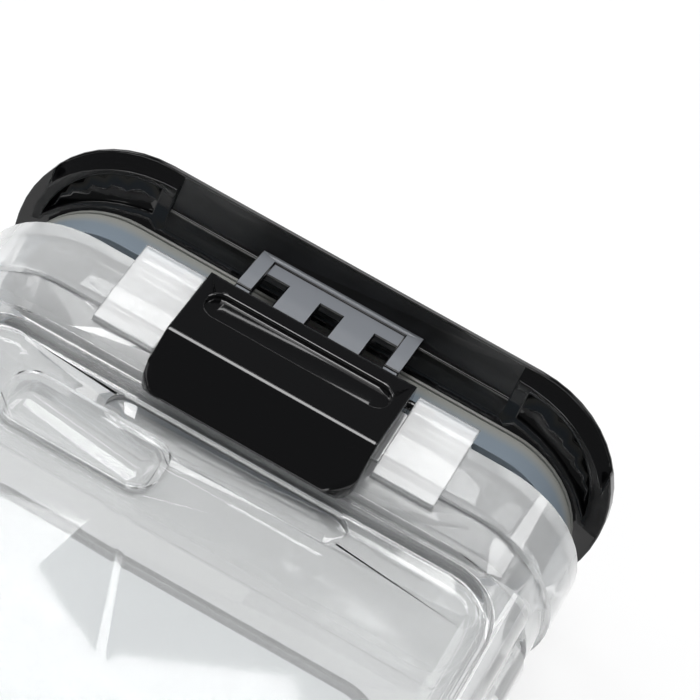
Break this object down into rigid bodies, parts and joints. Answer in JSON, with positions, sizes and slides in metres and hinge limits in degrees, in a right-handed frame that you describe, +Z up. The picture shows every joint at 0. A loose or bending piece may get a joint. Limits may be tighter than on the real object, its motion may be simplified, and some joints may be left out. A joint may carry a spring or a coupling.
{
  "type": "waterproof phone case",
  "caption": "Clear hard waterproof phone case with a hinged black lid, silicone plug seal, lever latch and touch film at the back",
  "frame": {"origin": "centre of the bounding box's base, with the case lying on its back", "axes": "X across the case, +Y along the case towards the lid, +Z up to the latch side"},
  "size_m": [0.099, 0.187, 0.0393],
  "materials": {
    "clear_shell": "clear moulded polycarbonate",
    "film": "clear smooth film",
    "black_plastic": "glossy black plastic",
    "seal": "satin grey silicone",
    "pin_steel": "ground stainless steel"
  },
  "bodies": {
    "case": {"case_shell": "clear_shell", "screen_film": "film", "latch_pin": "black_plastic", "hinge_pin": "pin_steel"},
    "lid": {"lid_cap": "black_plastic", "lid_seal": "seal"},
    "latch": {"latch_lever": "black_plastic"}
  },
  "joints": [
    {"name": "lid_hinge", "type": "hinge", "parent": "case", "child": "lid", "pos_m": [0, 0.07694, 0.0022], "axis": [-1, 0, 0], "range_deg": [-16, 74]},
    {"name": "latch_pivot", "type": "hinge", "parent": "case", "child": "latch", "pos_m": [0, 0.07904, 0.03195], "axis": [-1, 0, 0], "range_deg": [0, 40]}
  ]
}
